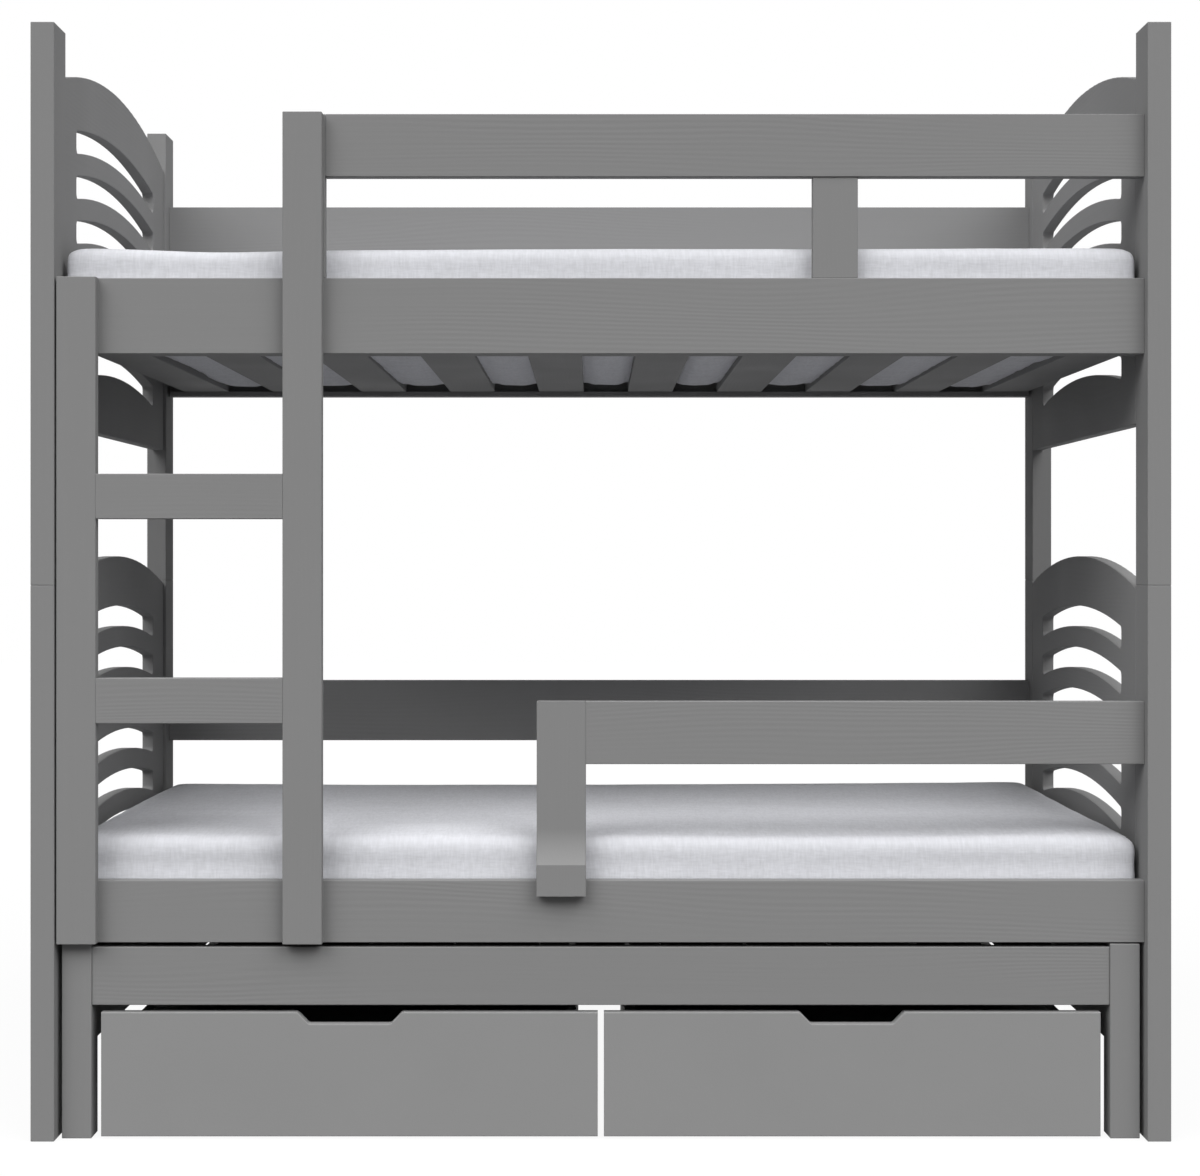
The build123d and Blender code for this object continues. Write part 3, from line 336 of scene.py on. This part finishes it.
@dataclass(frozen=True)
class SmoothPaint(Finish):
    """Sprayed paint over board, with no grain."""

    relief: float = 0.0003

    def wire(self, bench: Bench, shader: bpy.types.Node, place: bpy.types.NodeSocket) -> None:
        """Paint: only the film's own mottle and peel."""
        film = GroupBuilder.place(bench, GroupBuilder.brush_marks(), Vector=place)
        bench.feed(shader.inputs["Base Color"], bench.tint(film["Mottle"], *self.shade(0.97, 1.03)))
        self.vary(bench, shader, film["Mottle"], MIDDLE, 0.05)
        self.emboss(bench, shader, film["Peel"], self.relief, 0.3)
        shader.inputs["Specular IOR Level"].default_value = PAINT_GLOSS


@dataclass(frozen=True)
class Linen(Finish):
    """Washed linen cover with slubby threads and a soft sheen."""

    relief: float = 0.0005

    def wire(self, bench: Bench, shader: bpy.types.Node, place: bpy.types.NodeSocket) -> None:
        """Cloth: threads in the bump, slubs in the colour."""
        facing = bench.node("TexCoord").outputs["Normal"]
        weave = GroupBuilder.place(bench, GroupBuilder.linen_weave(), Vector=place, Normal=facing)
        bench.feed(shader.inputs["Base Color"], bench.tint(weave["Slub"], *self.shade(0.88, 1.08)))
        self.vary(bench, shader, weave["Slub"], WHOLE, -0.06)
        self.emboss(bench, shader, weave["Relief"], self.relief, 0.6)
        shader.inputs["Sheen Weight"].default_value = 0.04
        shader.inputs["Specular IOR Level"].default_value = 0.2


@dataclass(frozen=True)
class BareWood(Finish):
    """Unpainted beech, for the dowels."""

    grain: Grain = Grain.ALONG_Y

    def wire(self, bench: Bench, shader: bpy.types.Node, place: bpy.types.NodeSocket) -> None:
        """Wood: pores darker than the rest."""
        turned = bench.node("Mapping", {"Vector": place, "Rotation": self.grain.value}).outputs[0]
        grain = GroupBuilder.place(bench, GroupBuilder.wood_grain(), Vector=turned, Figure=0.4)
        bench.feed(shader.inputs["Base Color"], bench.tint(grain["Pores"], *self.shade(0.75, 1.1)))
        self.vary(bench, shader, grain["Pores"], WHOLE, -0.1)
        self.emboss(bench, shader, grain["Relief"], 0.0004, 0.5)


@dataclass(frozen=True)
class PlatedSteel(Finish):
    """Zinc plate, clouded and finely brushed."""

    def wire(self, bench: Bench, shader: bpy.types.Node, place: bpy.types.NodeSocket) -> None:
        """Metal: passivation clouds in colour and gloss, brushing in the bump."""
        clouds = bench.cloud(place, 90.0, 3.0)
        brushed = bench.cloud(bench.stretch(place, (2600.0, 300.0, 2600.0)), 1.0)
        bench.feed(shader.inputs["Base Color"], bench.tint(clouds, *self.shade(0.85, 1.08)))
        self.vary(bench, shader, clouds, MIDDLE, 0.09)
        self.emboss(bench, shader, brushed, 0.0002, 0.3)
        shader.inputs["Metallic"].default_value = 1.0


@dataclass(frozen=True)
class Felt(Finish):
    """Pressed felt of the floor pads."""

    def wire(self, bench: Bench, shader: bpy.types.Node, place: bpy.types.NodeSocket) -> None:
        """Felt: matted fibres in every channel."""
        fibres = bench.cloud(place, 900.0, 4.0, 0.7)
        bench.feed(shader.inputs["Base Color"], bench.tint(fibres, *self.shade(0.6, 1.5)))
        self.vary(bench, shader, fibres, MIDDLE, 0.05)
        self.emboss(bench, shader, fibres, 0.0006, 0.7)


@dataclass(frozen=True)
class MouldedPlastic(Finish):
    """Fine sparked texture of moulded wheels."""

    def wire(self, bench: Bench, shader: bpy.types.Node, place: bpy.types.NodeSocket) -> None:
        """Plastic: spark texture, rubbed smoother in patches."""
        spark = bench.cloud(place, 1500.0, 2.0)
        rubbed = bench.cloud(place, 60.0, 2.0)
        bench.feed(shader.inputs["Base Color"], bench.tint(rubbed, *self.shade(0.8, 1.3)))
        self.vary(bench, shader, rubbed, (0.35, 0.65), 0.11)
        self.emboss(bench, shader, spark, 0.0002, 0.4)


GREY: Colour = (0.218, 0.218, 0.218)
LONG_BOARD = PaintedWood("paint_on_long_board", GREY, 0.68, Grain.ALONG_X, 0.5)
UPRIGHT = PaintedWood("paint_on_upright", GREY, 0.68, Grain.ALONG_Z, 0.25)
CROSS_BOARD = PaintedWood("paint_on_cross_board", GREY, 0.68, Grain.ALONG_Y, 0.35)
DRAWER_FRONT = SmoothPaint("paint_on_drawer_front", (0.252, 0.252, 0.252), 0.55)
DRAWER_BOARD = SmoothPaint("drawer_board", (0.23, 0.23, 0.23), 0.65)
COVER = Linen("linen_cover", (0.61, 0.615, 0.648), 0.9)
STEEL = PlatedSteel("zinc_plate", (0.62, 0.63, 0.65), 0.36)
BEECH = BareWood("bare_beech", (0.6, 0.44, 0.28), 0.65)
PAD = Felt("dark_felt", (0.03, 0.03, 0.032), 0.95)
WHEEL = MouldedPlastic("black_plastic", (0.02, 0.02, 0.021), 0.49)


@dataclass
class Dresser:
    """Finds the frame's nodes and gives them their finish."""

    nodes: dict[str, bpy.types.Object]
    dressed: int = 0

    def put(self, finish: Finish, *names: str) -> None:
        """Dress the named nodes and log each of them."""
        for name in names:
            finish.dress(self.nodes[name])
            self.dressed += 1
            LOG.info("%s has %s", name, finish.name)


@dataclass
class FixedFrame:
    """Posts, end panels, rails and guards."""

    def uprights(self) -> list[str]:
        """Return the posts and the short upright pieces."""
        posts = [f"{tier}_{depth}_{side}_post" for tier in TIERS for depth in DEPTHS for side in SIDES]
        return posts + ["upper_guard_batten", "upper_guard_end_post", "lower_guard_bracket"]

    def long_boards(self) -> list[str]:
        """Return the rails, guards and ledges that run along the bed."""
        rails = [f"{tier}_{depth}_rail" for tier in TIERS for depth in DEPTHS]
        guards = [f"{tier}_{depth}_guard" for tier in TIERS for depth in DEPTHS]
        return rails + guards + ["slat_ledges"]

    def panels(self) -> list[str]:
        """Return the four slotted end panels."""
        return [f"{tier}_{side}_end_panel" for tier in TIERS for side in SIDES]

    def dress(self, dresser: Dresser) -> None:
        """Paint every board with its grain along it."""
        dresser.put(UPRIGHT, *self.uprights())
        dresser.put(LONG_BOARD, *self.long_boards())
        dresser.put(CROSS_BOARD, *self.panels(), "lower_slats", "upper_slats")


@dataclass
class Ladder:
    """Uprights and rungs."""

    def dress(self, dresser: Dresser) -> None:
        """Paint the uprights and the rungs along their own grain."""
        dresser.put(UPRIGHT, *(f"ladder_{side}_upright" for side in SIDES))
        dresser.put(LONG_BOARD, "ladder_lower_rung", "ladder_upper_rung")


@dataclass
class PullOutBed:
    """The low bed on legs."""

    def dress(self, dresser: Dresser) -> None:
        """Paint legs, rails, sides and slats."""
        dresser.put(UPRIGHT, *(f"trundle_{side}_legs" for side in SIDES))
        dresser.put(LONG_BOARD, "trundle_front_rail", "trundle_back_rail", "trundle_ledges")
        dresser.put(CROSS_BOARD, *(f"trundle_{side}_side" for side in SIDES), "trundle_slats")


@dataclass
class Drawer:
    """One drawer under the pull-out bed."""

    side: str

    def dress(self, dresser: Dresser) -> None:
        """Give the front, the box, the brackets and the wheels their finishes."""
        dresser.put(DRAWER_FRONT, f"{self.side}_drawer_front")
        dresser.put(DRAWER_BOARD, f"{self.side}_drawer_box", f"{self.side}_drawer_bottom")
        dresser.put(STEEL, f"{self.side}_drawer_wheel_brackets")
        dresser.put(WHEEL, *(f"{self.side}_drawer_{depth}_wheels" for depth in DEPTHS))


@dataclass
class Fixings:
    """Bolts, nuts, pins, screws, dowels and floor pads."""

    def dress(self, dresser: Dresser) -> None:
        """Plate the steel, leave the dowels bare and darken the pads."""
        dresser.put(STEEL, "rail_bolts", "barrel_nuts", "stacking_pins", "frame_screws", "trundle_fasteners")
        dresser.put(BEECH, "wood_dowels")
        dresser.put(PAD, "post_glides", "trundle_glides")


@dataclass
class Fold:
    """One long soft fold in a cover, on the mattress's top or front."""

    place: Vector
    heading: float
    half_length: float
    half_width: float
    height: float

    def lift(self, x: float, across: float) -> float:
        """Height of the fold at a point of the surface.

        Args:
            x: Place along the mattress.
            across: Place across it.

        Returns:
            The lift, in metres.
        """
        run = (x - self.place.x) * math.cos(self.heading) + (across - self.place.y) * math.sin(self.heading)
        off = (across - self.place.y) * math.cos(self.heading) - (x - self.place.x) * math.sin(self.heading)
        return self.height * math.exp(-((run / self.half_length) ** 2) - (off / self.half_width) ** 2)


@dataclass
class Mattress:
    """Foam mattress in a linen cover, swollen by cloth simulation and softly creased."""

    node: str
    seed: int
    waist_rise: float
    laid_folds: tuple[Fold, ...]
    cell: float = 0.0135
    top_rise: float = 0.004
    top_edge: float = 0.022
    bottom_edge: float = 0.009
    swell: float = 0.0045
    waist: float = 0.002
    waist_reach: float = 0.018
    sag: float = 0.0135
    folds: int = 24
    frames: int = 20
    pressure: float = 4.0
    cloth_mass: float = 0.3
    stretch_stiffness: float = 18.0
    bend_stiffness: float = 1.2
    slow_rise: float = 0.0012
    fine_rise: float = 0.0005
    slat_step: float = 0.015
    least_gap: float = 0.03

    def build(self, body: str, slats: bpy.types.Object) -> bpy.types.Object:
        """Make the mattress in place of its node.

        Args:
            body: The body that it rides on.
            slats: The slats that it lies on.

        Returns:
            The finished piece.
        """
        low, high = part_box(self.node)
        piece = bpy.data.objects.new(f"{self.node}_cover", self.block(low, high))
        bpy.context.scene.collection.objects.link(piece)
        self.inflate(piece)
        self.crease(piece, low, high)
        self.fill(piece, low, high + Vector((0.0, 0.0, self.top_rise)))
        self.settle(piece, low, self.gaps(slats))
        piece.modifiers.new("smooth", "SUBSURF").levels = 1
        piece.modifiers["smooth"].render_levels = 1
        COVER.dress(piece)
        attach(piece, body)
        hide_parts(self.node)
        LOG.info("%s has %d faces", piece.name, len(piece.data.polygons))
        return piece

    def block(self, low: Vector, high: Vector) -> bpy.types.Mesh:
        """Make an evenly gridded block with rolled edges, as large as the mattress."""
        half = (high - low) / 2
        shape = bmesh.new()
        bmesh.ops.create_cube(shape, size=2.0)
        bmesh.ops.scale(shape, vec=half, verts=shape.verts)
        for axis in range(3):
            along = [edge for edge in shape.edges if self.runs_along(edge, axis)]
            cuts = max(1, round(2 * half[axis] / self.cell) - 1)
            bmesh.ops.subdivide_edges(shape, edges=along, cuts=cuts, use_grid_fill=True)
        for vertex in shape.verts:
            vertex.co = self.rolled(vertex.co, half)
        bmesh.ops.translate(shape, vec=(low + high) / 2, verts=shape.verts)
        for face in shape.faces:
            face.smooth = True
        mesh = bpy.data.meshes.new(self.node + "_cover")
        shape.to_mesh(mesh)
        shape.free()
        return mesh

    @staticmethod
    def runs_along(edge: bmesh.types.BMEdge, axis: int) -> bool:
        """Tell whether an edge runs along one axis."""
        run = edge.verts[1].co - edge.verts[0].co
        return abs(run[axis]) > 0.99 * run.length

    def rolled(self, point: Vector, half: Vector) -> Vector:
        """Carry a point of a square block onto its rolled edge, with the upright corners kept tight.

        Args:
            point: Place on the block, from its middle.
            half: Half of the block's size.

        Returns:
            The place on the rolled block.
        """
        radius = self.top_edge if point.z > 0 else self.bottom_edge
        inset = min(half.x - abs(point.x), half.y - abs(point.y))
        reach, rise = radius - inset, abs(point.z) - (half.z - radius)
        if reach <= 0 or rise <= 0:
            return point
        factor = radius / math.hypot(reach, rise)
        drawn = radius - reach * factor
        x, y = (point[axis] * (half[axis] - drawn) / (half[axis] - inset) for axis in range(2))
        return Vector((x, y, math.copysign(half.z - radius + rise * factor, point.z)))

    def inflate(self, piece: bpy.types.Object) -> None:
        """Swell the cover with cloth pressure, and keep each point near where it started."""
        scene = bpy.context.scene
        cloth = piece.modifiers.new("pressure", "CLOTH")
        settings = cloth.settings
        settings.quality = 5
        settings.mass = self.cloth_mass
        settings.tension_stiffness = settings.compression_stiffness = self.stretch_stiffness
        settings.shear_stiffness = self.stretch_stiffness
        settings.bending_stiffness = self.bend_stiffness
        settings.use_pressure = True
        settings.uniform_pressure_force = self.pressure
        settings.effector_weights.gravity = 0.0
        cloth.collision_settings.use_collision = False
        cloth.point_cache.frame_start, cloth.point_cache.frame_end = 1, self.frames
        for frame in range(1, self.frames + 1):
            scene.frame_set(frame)
        swollen = piece.evaluated_get(bpy.context.evaluated_depsgraph_get()).data
        moves = [after.co - before.co for after, before in zip(swollen.vertices, piece.data.vertices)]
        piece.modifiers.remove(cloth)
        for vertex, move in zip(piece.data.vertices, moves):
            reach = move.length
            if reach > 0:
                vertex.co += move * (self.swell * math.tanh(reach / self.swell) / reach)
        scene.frame_set(1)

    def fold_field(self, low: Vector, high: Vector) -> list[Fold]:
        """Scatter long folds over the cover, most of them along the mattress."""
        draw = random.Random(self.seed)
        made = []
        for _ in range(self.folds):
            place = Vector((draw.uniform(low.x, high.x), draw.uniform(low.y, high.y)))
            made.append(Fold(
                place, draw.gauss(0.0, 0.09), draw.uniform(0.12, 0.42), draw.uniform(0.018, 0.05),
                draw.choice((-1, 1)) * draw.uniform(0.0004, 0.0015)))
        return made

    def crease(self, piece: bpy.types.Object, low: Vector, high: Vector) -> None:
        """Lay the folds, a slow unevenness and the drawn-in waist on the cover."""
        folds = [*self.laid_folds, *self.fold_field(low, high)]
        normals = [Vector(normal.vector) for normal in piece.data.vertex_normals]
        for vertex, normal in zip(piece.data.vertices, normals):
            point = vertex.co
            upward = max(0.0, normal.z)
            slow = noise.noise(Vector((point.x * 3.1, point.y * 4.2, point.z * 5.0 + self.seed)))
            fine = noise.noise(Vector((point.x * 9.0, point.y * 21.0, point.z * 26.0 + self.seed)))
            lift = upward * sum(fold.lift(point.x, point.y) for fold in folds)
            lift += self.slow_rise * slow * (0.35 + 0.65 * upward) + self.fine_rise * fine
            off = (point.z - low.z - self.waist_rise) / self.waist_reach
            lift -= (1.0 - abs(normal.z)) * self.waist * (1.0 + 0.8 * slow) * math.exp(-off * off)
            if normal.z > -0.6:
                vertex.co = point + normal * lift
        piece.data.update()

    @staticmethod
    def fill(piece: bpy.types.Object, low: Vector, high: Vector) -> None:
        """Stretch the cover so that it just fills its box."""
        for axis in range(3):
            places = [vertex.co[axis] for vertex in piece.data.vertices]
            least, most = min(places), max(places)
            scale = (high[axis] - low[axis]) / (most - least)
            for vertex in piece.data.vertices:
                vertex.co[axis] = low[axis] + (vertex.co[axis] - least) * scale
        piece.data.update()

    def gaps(self, slats: bpy.types.Object) -> list[tuple[float, float]]:
        """Find the open stretches between the slats, along X."""
        places = sorted(vertex.co.x for vertex in slats.data.vertices)
        edges = [places[0]]
        for before, after in zip(places, places[1:]):
            if after - before > self.slat_step:
                edges += [before, after]
        return [pair for pair in zip(edges[1::2], edges[2::2]) if pair[1] - pair[0] > self.least_gap]

    def settle(self, piece: bpy.types.Object, low: Vector, gaps: list[tuple[float, float]]) -> None:
        """Let the underside hang into the gaps between the slats."""
        for vertex in piece.data.vertices:
            point = vertex.co
            depth = 1.0 - (point.z - low.z) / self.bottom_edge
            for start, end in gaps if depth > 0 else ():
                across = abs(2 * (point.x - start) / (end - start) - 1)
                if across < 1:
                    uneven = 1.0 + 0.25 * noise.noise(Vector((point.x * 40.0, point.y * 30.0, self.seed)))
                    point.z -= self.sag * depth * uneven * (1.0 - across**6)
        piece.data.update()


@dataclass
class Studio:
    """Camera, lamps, sky and floor."""

    camera_place: Colour = (-0.0119, -3.539, 0.857)
    lens: float = 63.15
    sensor: float = 36.0
    shift: tuple[float, float] = (0.006, -0.0231)
    sky_front: float = 0.3
    sky_back: float = 0.15
    sun_strength: float = 2.4
    sun_height: float = math.radians(47)
    sun_turn: float = math.radians(42)
    sun_spread: float = math.radians(48)
    floor_half: float = 14.0
    floor_glow: float = 0.93
    floor_tone: float = 0.15
    pale_tone: float = 0.8

    def camera(self) -> None:
        """Stand the camera at the photograph's viewpoint, level and square to the bed."""
        data = bpy.data.cameras.new("camera")
        data.sensor_width = self.sensor
        data.lens = self.lens
        data.shift_x, data.shift_y = self.shift
        data.clip_end = 60.0
        camera = bpy.data.objects.new("camera", data)
        camera.location = self.camera_place
        camera.rotation_euler = (math.pi / 2, 0.0, 0.0)
        bpy.context.scene.collection.objects.link(camera)
        bpy.context.scene.camera = camera

    @staticmethod
    def seen_straight(bench: Bench) -> bpy.types.NodeSocket:
        """Return 1 for rays from the camera, from a reflection or through glass, and 0 for the rest."""
        path = bench.node("LightPath").outputs
        seen = bench.sum_up("MAXIMUM", path["Is Camera Ray"], path["Is Glossy Ray"])
        return bench.sum_up("MAXIMUM", seen, path["Is Transmission Ray"])

    def sky(self) -> None:
        """Fill the shadows from a dim sky, darker behind the bed, in front of a white background."""
        world = bpy.data.worlds.new("soft_sky")
        world.use_nodes = True
        bench = Bench(world.node_tree)
        backward = bench.node("SeparateXYZ", {0: bench.node("TexCoord").outputs["Generated"]}).outputs[1]
        level = bench.remap(backward, (0.05, 0.45), (self.sky_front, self.sky_back))
        light = bench.node("Background", {"Color": WHITE, "Strength": level})
        white = bench.node("Background", {"Color": WHITE, "Strength": 1.0})
        chosen = bench.node("MixShader", {0: self.seen_straight(bench), 1: light.outputs[0], 2: white.outputs[0]})
        output = bench.node("OutputWorld")
        bench.feed(output.inputs["Surface"], chosen.outputs[0])
        bpy.context.scene.world = world

    def lamps(self) -> None:
        """Set two broad suns high in front of the bed, one to either side."""
        for side, turn in zip(SIDES, (-self.sun_turn, self.sun_turn)):
            data = bpy.data.lights.new(f"{side}_sun", "SUN")
            data.energy = self.sun_strength
            data.angle = self.sun_spread
            lamp = bpy.data.objects.new(f"{side}_sun", data)
            lamp.rotation_euler = (math.pi / 2 - self.sun_height, 0.0, turn)
            lamp.location = (math.sin(turn) * 3.0, -math.cos(turn) * 3.0, 4.0)
            bpy.context.scene.collection.objects.link(lamp)

    def floor(self) -> None:
        """Lay a pale floor that is white to the camera and keeps a soft shadow."""
        shape = bmesh.new()
        bmesh.ops.create_grid(shape, x_segments=8, y_segments=8, size=self.floor_half)
        mesh = bpy.data.meshes.new("studio_floor")
        shape.to_mesh(mesh)
        shape.free()
        floor = bpy.data.objects.new("studio_floor", mesh)
        bpy.context.scene.collection.objects.link(floor)
        made = bpy.data.materials.new("pale_floor")
        made.use_nodes = True
        bench = Bench(made.node_tree)
        dull, pale = (bench.node("BsdfDiffuse", {"Color": (tone, tone, tone, 1.0)})
                      for tone in (self.floor_tone, self.pale_tone))
        glow = bench.node("Emission", {"Color": WHITE, "Strength": 1.0})
        bright = bench.node("MixShader", {0: self.floor_glow, 1: pale.outputs[0], 2: glow.outputs[0]})
        chosen = bench.node("MixShader", {0: self.seen_straight(bench), 1: dull.outputs[0], 2: bright.outputs[0]})
        output = bench.node("OutputMaterial")
        bench.feed(output.inputs["Surface"], chosen.outputs[0])
        mesh.materials.append(made)

    def build(self) -> None:
        """Set the whole studio up."""
        self.camera()
        self.sky()
        self.lamps()
        self.floor()
        bpy.context.scene.view_settings.view_transform = "Standard"


def mattresses() -> dict[str, Mattress]:
    """Return the two mattresses, each with the folds that lie on it."""
    lower_folds = (
        Fold(Vector((0.35, -0.366)), 0.0, 0.36, 0.016, -0.0028),
        Fold(Vector((0.40, -0.24)), 0.01, 0.42, 0.05, 0.0022),
        Fold(Vector((-0.25, -0.31)), 0.04, 0.17, 0.05, 0.0034),
        Fold(Vector((-0.55, -0.36)), 0.05, 0.14, 0.022, -0.0022),
        Fold(Vector((-0.30, 0.40)), 0.0, 0.9, 0.13, -0.0055),
    )
    upper_folds = (
        Fold(Vector((-0.58, -0.38)), 0.0, 0.14, 0.16, -0.0065),
        Fold(Vector((-0.28, -0.38)), 0.0, 0.16, 0.16, -0.0022),
    )
    return {
        "lower": Mattress("lower_mattress", 3, 0.087, lower_folds),
        "upper": Mattress("upper_mattress", 4, 0.102, upper_folds),
    }


def main() -> None:
    """Load the frame, dress it, lay the mattresses on and set up the studio."""
    logging.basicConfig(level=logging.INFO, format="%(name)s: %(message)s")
    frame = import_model()
    Studio().build()
    dresser = Dresser(frame["nodes"])
    for part in (FixedFrame(), Ladder(), PullOutBed(), *(Drawer(side) for side in SIDES), Fixings()):
        part.dress(dresser)
    for tier, mattress in mattresses().items():
        mattress.build("bed_frame", frame["nodes"][f"{tier}_slats"])
    LOG.info("%d nodes dressed", dresser.dressed)


if __name__ == "__main__":
    main()
